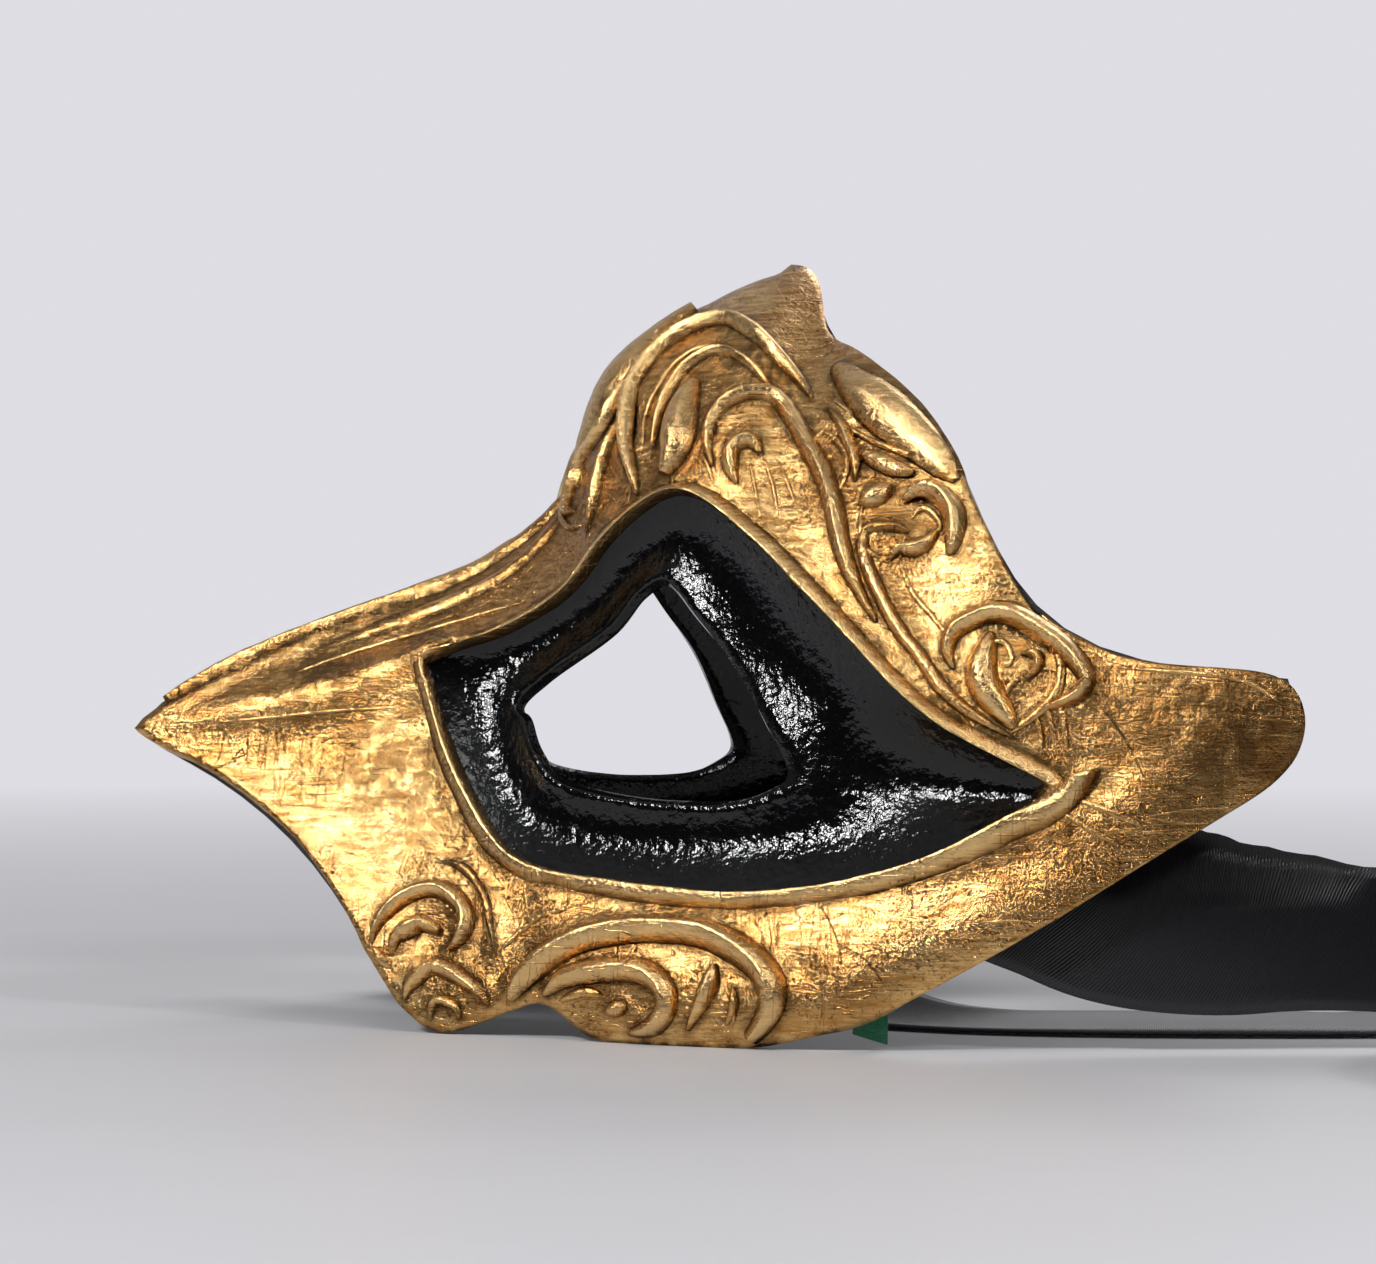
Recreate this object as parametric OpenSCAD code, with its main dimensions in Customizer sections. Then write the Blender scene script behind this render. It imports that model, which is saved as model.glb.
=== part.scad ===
// Venetian half mask with a long pointed nose, standing on the lower edges of its two cheeks.
// X runs from the wearer's right to the wearer's left, -Y is forwards (the nose) and +Z is up.
// The origin is on the table, under the middle of the mask. All sizes are in millimetres.

/* [Mask wall] */
// Thickness of the papier-mache wall
wall_t = 1.8; // [1.4:0.1:2.2]
// Thickness of the dark felt lining inside the wall
lining_t = 0.6; // [0.4:0.1:0.8]
// How far each lacquered eye socket is dished
socket_dish = 2.5; // [1:0.5:3.5]

/* [Relief] */
// Half width of the roll round each eye socket
bead_w = 1.8; // [1.2:0.1:2]
// Height of the roll round each eye socket
bead_h = 2.1; // [1.2:0.1:2.4]
// Height of the scrolls, where 1 is as carved
relief = 1; // [0.6:0.1:1.3]
// Half width of the band along the ridge of the nose
ridge_w = 2.2; // [1.6:0.1:2.8]

/* [Ribbons] */
// Width of the two satin ribbons
ribbon_w = 20; // [16:1:20]
// Thickness of a ribbon with its woven edges
ribbon_t = 0.8; // [0.6:0.1:1.2]

/* [Hidden] */

// Colours
GOLD = [0.80, 0.58, 0.22];
LACQUER = [0.03, 0.03, 0.035];
SATIN = [0.06, 0.06, 0.07];
FELT = [0.10, 0.10, 0.11];
GREEN = [0.0, 0.38, 0.17];

// The left half is drawn round its eye. A place on it is [turn, reach]: turn counts the 32 points
// of the outer edge, from the nose tip (0) over the crest (8) and the temple (16) and back under
// the cheek, and reach is 0 at the eye hole, 1 at the socket's roll, 2 midway and 3 at the edge.
TURNS = 32;
REACH_BEAD = 1;
REACH_EDGE = 3;
// The outer edge. Its first nine points are the middle line of the mask, from nose to crest.
EDGE = [
    [0, -80, 44], [0, -64, 53], [0, -46, 60], [0, -30, 66],
    [0, -18, 75], [0, -13, 86], [0, -7, 97], [0, 5, 107],
    [0, 17, 112], [5, 21, 109], [17, 21, 101], [30, 26, 97],
    [43, 35, 86], [54, 39, 74], [61, 45, 62], [70, 58, 54],
    [78, 78, 52], [79, 79, 40], [77, 63, 29], [74, 44, 17],
    [69, 27, 7], [64, 11, 1], [58, -3, -1], [50, -15, 0],
    [45, -22, 5], [41, -28, 3], [36, -37, 0], [31, -44, 6],
    [25, -50, 17], [17, -58, 28], [8, -70, 37], [2, -79, 41]];
// Halfway between the socket's roll and the outer edge
MIDWAY = [
    [8, -60, 48], [6, -38, 58], [10, -18, 71], [13, -9, 90],
    [20, 8, 98], [32, 13, 86], [49, 26, 74], [62, 38, 55],
    [75, 64, 44], [74, 51, 28], [69, 25, 15], [60, 2, 10],
    [47, -18, 12], [37, -31, 12], [24, -42, 25], [12, -54, 40]];
// The roll round the socket
SOCKET = [
    [14, -38, 54], [16, -28, 57], [20, -18, 63], [25, -11, 72],
    [32, -2, 78], [40, 7, 73], [53, 18, 61], [63, 31, 47],
    [70, 49, 36], [69, 38, 29], [64, 23, 23], [56, 6, 20],
    [43, -13, 21], [33, -26, 24], [24, -33, 34], [17, -37, 45]];
// The eye hole
EYE = [
    [20, -25, 47], [22, -20, 52], [26, -12, 58], [28, -8, 63],
    [31, -4, 65], [35, 0, 60], [40, 5, 53], [47, 9, 45],
    [51, 12, 38], [50, 9, 35], [47, 3, 33], [42, -5, 33],
    [36, -14, 34], [31, -20, 36], [27, -23, 40], [23, -24, 44]];
// Direction in which the socket is dished, towards the wearer's eye
INWARDS = [-0.8, 0.6, 0];

// Grid of the wall: columns round the eye and rows from the socket's roll to the edge
COLUMNS = 96;
ROWS = 6;
PANEL_ROWS = 3;
LINING_COLUMNS = 48;
// Fraction of the turns that lies on the middle line
MIDDLE_SHARE = 8 / TURNS;
// Least share of its distance from the middle plane that an inner point keeps, as in the nose
KEEP = 0.25;
// How far the surface is sampled either side of a point to find its slope
DT = 0.006;
DR = 0.05;
// Scrolls stop just inside the outer edge
RIM = 2.97;
// Section of every scroll, as [share of half width, share of height]
SECTION = [[-1, 0], [-0.6, 0.75], [0, 1], [0.6, 0.75], [1, 0], [0, 0]];

// Each ribbon's route from its patch, along the middle of its width, to where its roll starts
LEFT_ROUTE = [
    [62.5, 34, 24], [64.5, 40, 22], [67, 46, 20], [68.5, 52, 17.5], [69.5, 58, 16],
    [70, 65, 15.2], [70, 72, 15], [70, 80, 15.5], [70, 88, 15.5], [70, 96, 15],
    [70, 104, 13.5], [70, 112, 12], [70, 119, 11], [70, 126, 10.4], [70, 133.5, 10.2]];
RIGHT_ROUTE = [
    [-60, 36, 24], [-53, 27, 21], [-44, 21, 18], [-34, 16.5, 15], [-23, 14, 12.5],
    [-12, 14, 10], [-1, 15.5, 7], [10, 20, 4], [19, 26, 2.5], [27, 33, 1.5],
    [33.5, 42, 1.2], [37.5, 52, 1.2], [40, 63, 1.2], [41.5, 74, 1.2], [42.5, 85, 1.2],
    [43, 96, 1.2], [43.5, 107, 2.5], [44, 118, 5.5], [44, 130, 8.5], [44, 142, 10],
    [44, 153, 10], [44, 164, 10]];
// Lean of each ribbon's width from upright, in degrees, at the same points
LEFT_LEAN = [-32, -24, -14, -8, -4, -1, 0, 0, 0, 0, 0, 0, 0, 0, 0];
RIGHT_LEAN = [-32, -28, -24, -24, -28, -38, -52, -70, -82, -85, -86, -86, -86, -86, -86,
    -86, -76, -57, -32, -8, 0, 0];
// The rest of each ribbon stands on its edge in a loose roll, whose turns lie ROLL_GAP apart
ROLL_R = 52;
ROLL_GAP = 8;
LEFT_ROLL_AT = [122, 140];
RIGHT_ROLL_AT = [-8, 164];
LEFT_ROLL_TURNS = 1.15;
RIGHT_ROLL_TURNS = 0.68;
FACETS = 96;

function unit(v) = v / norm(v);

// The point at place f, from 0 to 1, between b and c on the smooth curve through a, b, c and d
function between(a, b, c, d, f) =
    (2 * b + f * (c - a) + f * f * (2 * a - 5 * b + 4 * c - d)
        + f * f * f * (3 * b - a - 3 * c + d)) / 2;

// The point at place t, from 0 to 1 all the way round, on the closed curve through the points
function on_loop(points, t) =
    let (n = len(points), s = (t - floor(t)) * n, i = floor(s))
    between(points[(i + n - 1) % n], points[i % n], points[(i + 1) % n], points[(i + 2) % n], s - i);

// The point at place s, from 0 to 1, on the open curve through the points
function on_path(points, s) =
    let (last = len(points) - 1, i = min(last - 1, floor(s * last)))
    between(points[max(0, i - 1)], points[i], points[i + 1], points[min(last, i + 2)], s * last - i);

// The outer surface of the left half. It passes a little below the table where the mask stands.
function skin(t, r) =
    let (bead = on_loop(SOCKET, t))
    r < REACH_BEAD
        ? let (eye = on_loop(EYE, t))
            eye + (bead - eye) * r + INWARDS * socket_dish * 4 * r * (1 - r)
        : let (edge = on_loop(EDGE, t), mid = on_loop(MIDWAY, t), q = (r - 1) / 2,
              p = bead * (1 - q) * (1 - 2 * q) + mid * 4 * q * (1 - q) + edge * q * (2 * q - 1),
              on_middle = r == REACH_EDGE && t - floor(t) <= MIDDLE_SHARE)
            [on_middle ? 0 : max(0, p.x), p.y, p.z];

function slope_round(t, r) = (skin(t + DT, r) - skin(t - DT, r)) / (2 * DT);

// The slope outwards, sampled on both sides of a point, or only beyond it (1) or before it (-1)
function slope_out(t, r, side = 0) =
    let (far = side < 0 ? r : min(REACH_EDGE, r + DR), near = side > 0 ? r : max(0, r - DR))
    (skin(t, far) - skin(t, near)) / (far - near);

// The outward direction of the surface. On the middle line it has no sideways part.
function outward(t, r) =
    let (n = cross(slope_round(t, r), slope_out(t, r)),
         on_middle = r == REACH_EDGE && t - floor(t) <= MIDDLE_SHARE)
    unit([on_middle ? 0 : n.x, n.y, n.z]);

// The point at a depth under the outer surface. What would be below the table is its flat foot.
function sunk(t, r, depth) =
    let (p = skin(t, r), q = p - depth * outward(t, r))
    [max(q.x, KEEP * p.x), q.y, p.z <= 0 ? 0 : max(0, q.z)];

// The place that lies a short way, in millimetres, from place [t, r] along the surface. The slope
// is taken on the side that the way leads to, because the wall is folded at the socket's roll.
function moved(t, r, way) =
    let (u = slope_round(t, r), v = slope_out(t, r, way * slope_out(t, r) > 0 ? 1 : -1),
         uu = u * u, uv = u * v, vv = v * v,
         ways = [way * u, way * v], size = uu * vv - uv * uv)
    [t + (ways[0] * vv - ways[1] * uv) / size, min(RIM, r + (ways[1] * uu - ways[0] * uv) / size)];

// Two triangles for the four-sided face a, b, c, d
function face(a, b, c, d, flip = false) = flip ? [[c, b, a], [d, c, a]] : [[a, b, c], [a, c, d]];

function flat(lists) = [for (l = lists, item = l) item];

// A layer of the mask between two depths. It has two sheets for the left half and, where it is
// joined along the middle line, two more for the right half.
module layer(columns, rows, from, to, top, bottom, joined) {
    halves = joined ? [1, -1] : [1];
    points = [for (half = halves, depth = [top, bottom], j = [0:rows], i = [0:columns - 1])
        let (p = sunk(i / columns, from + (to - from) * j / rows, depth)) [half * p.x, p.y, p.z]];
    function at(sheet, j, i) =
        let (c = i % columns,
             shared = joined && j == rows && c <= columns * MIDDLE_SHARE)
        ((shared ? sheet % 2 : sheet) * (rows + 1) + j) * columns + c;
    first_free = joined ? columns * MIDDLE_SHARE : 0;
    faces = flat([for (h = [0:len(halves) - 1]) let (o = 2 * h, n = o + 1, flip = h == 1) flat([
        for (j = [0:rows - 1], i = [0:columns - 1]) concat(
            face(at(o, j, i), at(o, j + 1, i), at(o, j + 1, i + 1), at(o, j, i + 1), flip),
            face(at(n, j, i), at(n, j + 1, i), at(n, j + 1, i + 1), at(n, j, i + 1), !flip)),
        for (i = [0:columns - 1])
            face(at(o, 0, i), at(o, 0, i + 1), at(n, 0, i + 1), at(n, 0, i), flip),
        for (i = [first_free:columns - 1])
            face(at(o, rows, i + 1), at(o, rows, i), at(n, rows, i), at(n, rows, i + 1), flip)])]);
    polyhedron(points, faces);
}

// A solid through rings of points that all have the same number of points
module through_rings(rings) {
    n = len(rings[0]);
    last = (len(rings) - 1) * n;
    polyhedron(flat(rings), flat([
        for (k = [0:len(rings) - 2], m = [0:n - 1]) let (a = k * n, b = a + n, m1 = (m + 1) % n)
            face(a + m, a + m1, b + m1, b + m),
        for (m = [1:n - 2]) [[0, m + 1, m], [last, last + m, last + m + 1]]]));
}

// How full a scroll is at place s of its length: it swells from its ends over the lead
function swell(s, lead, ends) =
    let (near = min(1, s / lead), far = min(1, (1 - s) / lead))
    s < 0.5 ? ends[0] + (1 - ends[0]) * sin(90 * near) : ends[1] + (1 - ends[1]) * sin(90 * far);

function scroll_ring(path, w, h, s, step, size) =
    let (c = on_path(path, s), t = c[0] / TURNS, r = c[1], n = outward(t, r),
         a = on_path(path, min(1, s + step)), b = on_path(path, max(0, s - step)),
         across = unit(cross(n, skin(a[0] / TURNS, a[1]) - skin(b[0] / TURNS, b[1]))))
    [for (q = SECTION) let (place = moved(t, r, across * (q[0] * w * size)))
        skin(place[0], place[1]) + n * (q[1] * h * relief * size)];

// A raised scroll that lies on the surface along a path of [turn, reach] places
module scroll(path, w, h, rings, lead = 0.35, ends = [0.3, 0.3]) {
    through_rings([for (k = [0:rings]) let (s = k / rings)
        scroll_ring(path, w, h, s, 0.5 / rings, swell(s, lead, ends))]);
}

// A raised band along the middle line, the same on both sides of it
module middle_band(from, to, w, h, rings, lead, ends) {
    through_rings([for (k = [0:rings])
        let (s = k / rings, t = (from + (to - from) * s) / TURNS, n = outward(t, REACH_EDGE),
             size = swell(s, lead, ends))
        [for (q = SECTION)
            let (place = moved(t, REACH_EDGE, [abs(q[0]) * w * size, 0, 0]),
                 p = q[0] == 0 ? skin(t, REACH_EDGE) : skin(place[0], place[1]))
            [(q[0] > 0 ? -1 : 1) * p.x, p.y, p.z] + n * (q[1] * h * relief * size)]]);
}

// A flat ribbon along a route, with its width upright where the lean is 0
module ribbon(route, lean, rings) {
    section = [for (p = [[-1, -0.2], [-1, 0.2], [-0.9, 0.5], [0.9, 0.5],
        [1, 0.2], [1, -0.2], [0.9, -0.5], [-0.9, -0.5]]) [p[0] * ribbon_w / 2, p[1] * ribbon_t]];
    through_rings([for (k = [0:rings])
        let (s = k / rings, step = 0.5 / rings,
             p = on_path(route, s),
             ahead = unit(on_path(route, min(1, s + step)) - on_path(route, max(0, s - step))),
             side = unit(cross(ahead, [0, 0, 1])), top = cross(side, ahead),
             turn = on_path(lean, s),
             wide = top * cos(turn) + side * sin(turn), thick = cross(ahead, wide))
        [for (q = section) p + wide * q[0] + thick * q[1]]]);
}

module on_right() {
    mirror([1, 0, 0]) children();
}

module shell() {
    color(GOLD) layer(COLUMNS, ROWS, REACH_BEAD, REACH_EDGE, 0, wall_t, true);
}

module lining() {
    color(FELT) layer(LINING_COLUMNS, ROWS - 1, REACH_BEAD, REACH_EDGE, wall_t, wall_t + lining_t, true);
}

module left_eye_panel() {
    color(LACQUER) layer(COLUMNS, PANEL_ROWS, 0, REACH_BEAD, 0, wall_t, false);
}

module right_eye_panel() {
    on_right() left_eye_panel();
}

module nose_ridge() {
    color(GOLD) middle_band(0.3, 4.3, ridge_w, 1.6, 24, 0.1, [0.7, 0.5]);
}

module forehead_lobe() {
    color(GOLD) middle_band(4.4, 6.8, 6.5, 3, 14, 0.5, [0.25, 0.45]);
}

module left_upper_bead() {
    color(GOLD) scroll([[-0.3, 1.05], for (turn = [0.4, each [1:16]]) [turn, REACH_BEAD], [16.6, 1]],
        bead_w, bead_h, 44, 0.08, [0.7, 0.4]);
}

module right_upper_bead() {
    on_right() left_upper_bead();
}

module left_lower_bead() {
    color(GOLD) scroll([[32.2, 1.04], for (turn = [31:-1:17]) [turn, REACH_BEAD], [15.8, 1.16]],
        bead_w, bead_h, 44, 0.25, [0.7, 1.7]);
}

module right_lower_bead() {
    on_right() left_lower_bead();
}

// The double strap that arches over the brow
module left_arch() {
    color(GOLD) {
        scroll([[6.7, 1.1], [6.2, 1.5], [6.1, 1.9], [6.2, 2.25], [6.5, 2.45], [6.9, 2.5],
            [7.4, 2.4], [8, 2.2], [8.8, 2.2], [9.8, 2.45], [10.3, 2.45]], 1.6, 2, 22, 0.2);
        scroll([[6.8, 1.4], [6.8, 1.65], [6.9, 1.85], [7.1, 2], [7.5, 2.05],
            [8.1, 1.95], [8.9, 2], [9.6, 2.15]], 1.1, 1.5, 14, 0.3);
    }
}

module right_arch() {
    on_right() left_arch();
}

module left_brow_drop() {
    color(GOLD) scroll([[7.3, 1.8], [7.3, 1.6], [7.4, 1.4], [7.5, 1.25], [7.4, 1.12]],
        3.4, 3.8, 10, 0.5, [0.3, 0.4]);
}

module right_brow_drop() {
    on_right() left_brow_drop();
}

// The stem that runs down beside the forehead's lobe and curls up at its foot
module left_brow_stem() {
    color(GOLD) {
        scroll([[6.1, 2.4], [5.8, 2.2], [5.5, 2.15], [5.1, 2.35], [4.8, 2.7],
            [4.5, 2.8], [4.3, 2.6], [4.2, 2.3], [4.4, 2.05]], 1.4, 2, 18, 0.2);
        scroll([[4.5, 2.4], [4.6, 2.5], [4.75, 2.5]], 1.3, 2, 5, 0.5);
        scroll([[5.9, 1.9], [5.7, 1.75], [5.4, 1.6], [5.2, 1.45], [4.8, 1.35]], 1.1, 1.5, 10);
    }
}

module right_brow_stem() {
    on_right() left_brow_stem();
}

module left_forehead_scroll() {
    color(GOLD) {
        scroll([[8.7, 1.2], [8.3, 1.3], [8.1, 1.5], [8.5, 1.7], [9.1, 1.95], [9.7, 2.15], [10.2, 2.15],
            [10.6, 2.05], [10.9, 1.95], [11.2, 1.8], [11.5, 1.6], [11.9, 1.4], [12.3, 1.3], [12.7, 1.25]],
            1.8, 2.3, 28, 0.25);
        scroll([[9.5, 1.25], [9.2, 1.3], [9, 1.4], [9.2, 1.55], [9.5, 1.65], [9.8, 1.65]], 1.7, 2.3, 10);
    }
}

module right_forehead_scroll() {
    on_right() left_forehead_scroll();
}

// The thin strands that run down from the forehead to the temple
module left_vine() {
    color(GOLD) {
        scroll([[10.6, 2.45], [10.9, 2.4], [11.1, 2.3], [11.3, 2.2], [11.4, 2.05]], 1.1, 1.5, 8);
        scroll([[12.4, 2.1], [12.2, 2], [12, 1.85], [11.9, 1.75], [12, 1.6], [12.3, 1.5], [12.6, 1.45],
            [13, 1.4], [13.5, 1.4], [13.9, 1.3], [14.4, 1.2], [14.9, 1.15]], 1.3, 1.6, 24, 0.2);
    }
}

module right_vine() {
    on_right() left_vine();
}

module left_middle_scroll() {
    color(GOLD) {
        scroll([[12.1, 2.25], [12.15, 2.4], [12.3, 2.55], [12.5, 2.65], [12.7, 2.7], [12.85, 2.65],
            [13, 2.5], [13, 2.4]], 1.8, 2.4, 14);
        scroll([[12.7, 2.4], [12.7, 2.25], [12.6, 2.05], [12.4, 1.9], [12.4, 1.75]], 1.5, 2, 8, 0.5);
        scroll([[11.6, 1.9], [11.75, 2.05], [11.85, 2.25]], 2.1, 2.1, 6, 0.5);
    }
}

module right_middle_scroll() {
    on_right() left_middle_scroll();
}

module left_temple_scroll() {
    color(GOLD) {
        scroll([[13.9, 1.6], [13.7, 1.7], [13.6, 1.95], [13.7, 2.25], [13.8, 2.5], [14, 2.7], [14.2, 2.75],
            [14.5, 2.7], [14.7, 2.5], [14.9, 2.15], [14.9, 1.8], [14.8, 1.6]], 1.7, 2.4, 20, 0.25);
        scroll([[13.95, 2.3], [14.05, 2], [14.2, 1.7], [14.5, 1.45], [14.8, 1.25]], 2.8, 3.2, 10, 0.5);
        scroll([[14.3, 2.25], [14.35, 2.35], [14.45, 2.3], [14.5, 2.1], [14.5, 1.9]], 1.1, 1.7, 8, 0.5);
    }
}

module right_temple_scroll() {
    on_right() left_temple_scroll();
}

module left_wing_leaf() {
    color(GOLD) {
        scroll([[10.5, 2.8], [10.9, 2.74], [11.3, 2.74], [11.7, 2.76], [12.2, 2.82], [12.5, 2.9]],
            4.2, 2.4, 12, 0.5, [0.35, 0.2]);
        scroll([[11.3, 2.3], [11.5, 2.32], [11.8, 2.4], [12, 2.5]], 1.7, 1.5, 6, 0.5);
    }
}

module right_wing_leaf() {
    on_right() left_wing_leaf();
}

module left_front_cheek_scroll() {
    color(GOLD) {
        scroll([[27.5, 2.9], [27.6, 2.75], [27.6, 2.45], [27.5, 2.2], [27.3, 1.95], [27, 1.8], [26.6, 1.75],
            [26.4, 1.85], [26.4, 2.05], [26.5, 2.2]], 1.6, 2.2, 16, 0.25);
        scroll([[27.5, 1.75], [27.2, 1.55], [26.8, 1.45], [26.3, 1.5], [25.9, 1.75], [25.6, 2]],
            0.9, 1, 12, 0.4, [0.2, 0.2]);
        scroll([[27.2, 2.75], [27.3, 2.6], [27.2, 2.4], [27.1, 2.25], [26.8, 2.15]], 1.7, 2.3, 9, 0.5);
        scroll([[26.7, 2.92], [26.75, 2.8], [26.7, 2.65], [26.6, 2.45], [26.3, 2.35], [26, 2.35],
            [25.6, 2.45], [25.3, 2.7]], 1.5, 2.1, 14);
        scroll([[26.2, 2.88], [26.3, 2.75], [26.2, 2.65], [25.9, 2.65], [25.75, 2.8]], 1.1, 1.7, 8, 0.5);
    }
}

module right_front_cheek_scroll() {
    on_right() left_front_cheek_scroll();
}

module left_rear_cheek_scroll() {
    color(GOLD) {
        scroll([[24.9, 2.7], [24.8, 2.4], [24.5, 2.1], [24, 1.75], [23.5, 1.55], [22.9, 1.45], [22.4, 1.45],
            [21.9, 1.65], [21.5, 1.95], [21.3, 2.3], [21.3, 2.6], [21.4, 2.85]], 2.4, 3, 24, 0.2, [0.4, 0.5]);
        scroll([[24.1, 2.8], [24, 2.45], [23.6, 2.2], [23.2, 2.05], [22.9, 2.05], [22.6, 2.2],
            [22.45, 2.45], [22.5, 2.7], [22.7, 2.8]], 2, 2.6, 16, 0.25);
        scroll([[22.15, 1.85], [22.1, 2.05], [22.1, 2.35], [22.1, 2.7]], 1.5, 2.2, 8, 0.5);
        scroll([[23.1, 2.65], [23, 2.55], [22.9, 2.5]], 1.5, 2, 6, 0.5);
        scroll([[21.8, 2.15], [21.7, 2.4], [21.7, 2.65]], 1, 1.4, 6, 0.5);
    }
}

module right_rear_cheek_scroll() {
    on_right() left_rear_cheek_scroll();
}

// The smooth roll between the ridge of the nose and the eye socket
module left_nose_roll() {
    color(GOLD) scroll([[1.3, 2.5], [1.7, 2.4], [2.2, 2.25], [2.8, 2.15], [3.4, 2.2], [3.9, 2.4], [4.2, 2.5]],
        2, 1.3, 14);
}

module right_nose_roll() {
    on_right() left_nose_roll();
}

// The patch that holds a ribbon's end against the lining
module left_ribbon_patch() {
    depth = wall_t + lining_t;
    across = [[18.7, 20], [1.1, 2]];
    cuts = 4;
    points = [for (d = [depth, depth + 1], j = [0:cuts], i = [0:cuts])
        sunk((across[0][0] + (across[0][1] - across[0][0]) * i / cuts) / TURNS,
            across[1][0] + (across[1][1] - across[1][0]) * j / cuts, d)];
    row = cuts + 1;
    under = row * row;
    color(FELT) polyhedron(points, flat([
        for (j = [0:cuts - 1], i = [0:cuts - 1]) let (a = j * row + i) concat(
            face(a, a + row, a + row + 1, a + 1),
            face(under + a, under + a + row, under + a + row + 1, under + a + 1, true)),
        for (i = [0:cuts - 1]) let (a = i, b = cuts * row + i, c = i * row, d = c + cuts) concat(
            face(a, a + 1, under + a + 1, under + a),
            face(b + 1, b, under + b, under + b + 1),
            face(c + row, c, under + c, under + c + row),
            face(d, d + row, under + d + row, under + d))]));
}

module right_ribbon_patch() {
    on_right() left_ribbon_patch();
}

module left_ribbon() {
    color(SATIN) ribbon(LEFT_ROUTE, LEFT_LEAN, 26);
}

module right_ribbon() {
    color(SATIN) ribbon(RIGHT_ROUTE, RIGHT_LEAN, 46);
}

// The outer shape of a roll that starts at ROLL_R and winds inwards for a number of turns
module roll(at, turns) {
    depth = ROLL_GAP * turns + ribbon_t;
    translate(at) rotate_extrude(angle = 360 * min(1, turns), $fn = FACETS)
        translate([ROLL_R + ribbon_t / 2 - depth, 0]) square([depth, ribbon_w]);
}

module left_ribbon_roll() {
    color(SATIN) roll(LEFT_ROLL_AT, LEFT_ROLL_TURNS);
}

module right_ribbon_roll() {
    color(SATIN) roll(RIGHT_ROLL_AT, RIGHT_ROLL_TURNS);
}

// The felt tag that hangs from the inside of the left cheek, cut slantwise at its foot
module green_tag() {
    color(GREEN) translate([64, 20, 0]) rotate([90, 0, 76]) linear_extrude(0.8)
        polygon([[0, 2.2], [4.8, 0.8], [5, 14], [0, 14]]);
}

shell();
lining();
nose_ridge();
forehead_lobe();
left_eye_panel();
right_eye_panel();
left_upper_bead();
right_upper_bead();
left_lower_bead();
right_lower_bead();
left_arch();
right_arch();
left_brow_drop();
right_brow_drop();
left_brow_stem();
right_brow_stem();
left_forehead_scroll();
right_forehead_scroll();
left_vine();
right_vine();
left_middle_scroll();
right_middle_scroll();
left_temple_scroll();
right_temple_scroll();
left_wing_leaf();
right_wing_leaf();
left_front_cheek_scroll();
right_front_cheek_scroll();
left_rear_cheek_scroll();
right_rear_cheek_scroll();
left_nose_roll();
right_nose_roll();
left_ribbon_patch();
right_ribbon_patch();
left_ribbon();
right_ribbon();
left_ribbon_roll();
right_ribbon_roll();
green_tag();
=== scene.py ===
import math

import bmesh
import bpy
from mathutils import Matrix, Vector, noise
from mathutils.bvhtree import BVHTree


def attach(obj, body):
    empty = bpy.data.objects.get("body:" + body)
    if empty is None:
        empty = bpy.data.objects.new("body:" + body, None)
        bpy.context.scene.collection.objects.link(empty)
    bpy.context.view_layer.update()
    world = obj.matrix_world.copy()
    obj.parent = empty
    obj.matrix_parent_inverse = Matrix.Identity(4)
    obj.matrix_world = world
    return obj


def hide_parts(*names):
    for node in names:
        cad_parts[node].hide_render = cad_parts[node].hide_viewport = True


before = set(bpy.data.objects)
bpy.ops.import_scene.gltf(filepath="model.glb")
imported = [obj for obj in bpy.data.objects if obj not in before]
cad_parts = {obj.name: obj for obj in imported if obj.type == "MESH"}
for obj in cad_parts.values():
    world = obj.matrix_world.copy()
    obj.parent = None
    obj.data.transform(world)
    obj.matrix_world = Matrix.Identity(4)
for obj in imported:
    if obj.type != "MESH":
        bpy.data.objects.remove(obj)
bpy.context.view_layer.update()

MM = 0.001

# ---------------------------------------------------------------- the camera
TARGET = Vector((0, 0.0015, 0.0568))
DISTANCE = 0.8
AZIMUTH = math.radians(86)
ELEVATION = math.radians(1)
# Millimetres
SENSOR = 36
LENS = 139.4
CLIP = (0.05, 50)


def make_camera():
    data = bpy.data.cameras.new("camera")
    data.sensor_width = SENSOR
    data.lens = LENS
    data.clip_start, data.clip_end = CLIP
    camera = bpy.data.objects.new("camera", data)
    bpy.context.scene.collection.objects.link(camera)
    back = Vector((math.sin(AZIMUTH) * math.cos(ELEVATION),
                   -math.cos(AZIMUTH) * math.cos(ELEVATION), math.sin(ELEVATION)))
    camera.location = TARGET + DISTANCE * back
    camera.rotation_euler = (-back).to_track_quat("-Z", "Y").to_euler()
    bpy.context.scene.camera = camera


make_camera()


# ---------------------------------------------------------------- shared helpers
def new_object(name, mesh, smooth=True):
    obj = bpy.data.objects.new(name, mesh)
    bpy.context.scene.collection.objects.link(obj)
    if smooth:
        mesh.polygons.foreach_set("use_smooth", [True] * len(mesh.polygons))
    return obj


def through(points, steps):
    """Points on the smooth curve through the given ones, of any number of values each."""
    out = []
    last = len(points) - 1
    for i in range(last):
        a, b, c, d = points[max(0, i - 1)], points[i], points[i + 1], points[min(last, i + 2)]
        for k in range(steps):
            f = k / steps
            out.append([(2 * q + f * (r - p) + f * f * (2 * p - 5 * q + 4 * r - s)
                         + f ** 3 * (3 * q - p - 3 * r + s)) / 2 for p, q, r, s in zip(a, b, c, d)])
    out.append(list(points[last]))
    return out


def smooth_step(x):
    x = min(1.0, max(0.0, x))
    return x * x * (3 - 2 * x)


def part_way(value, span):
    return smooth_step((value - span[0]) / (span[1] - span[0]))


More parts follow.
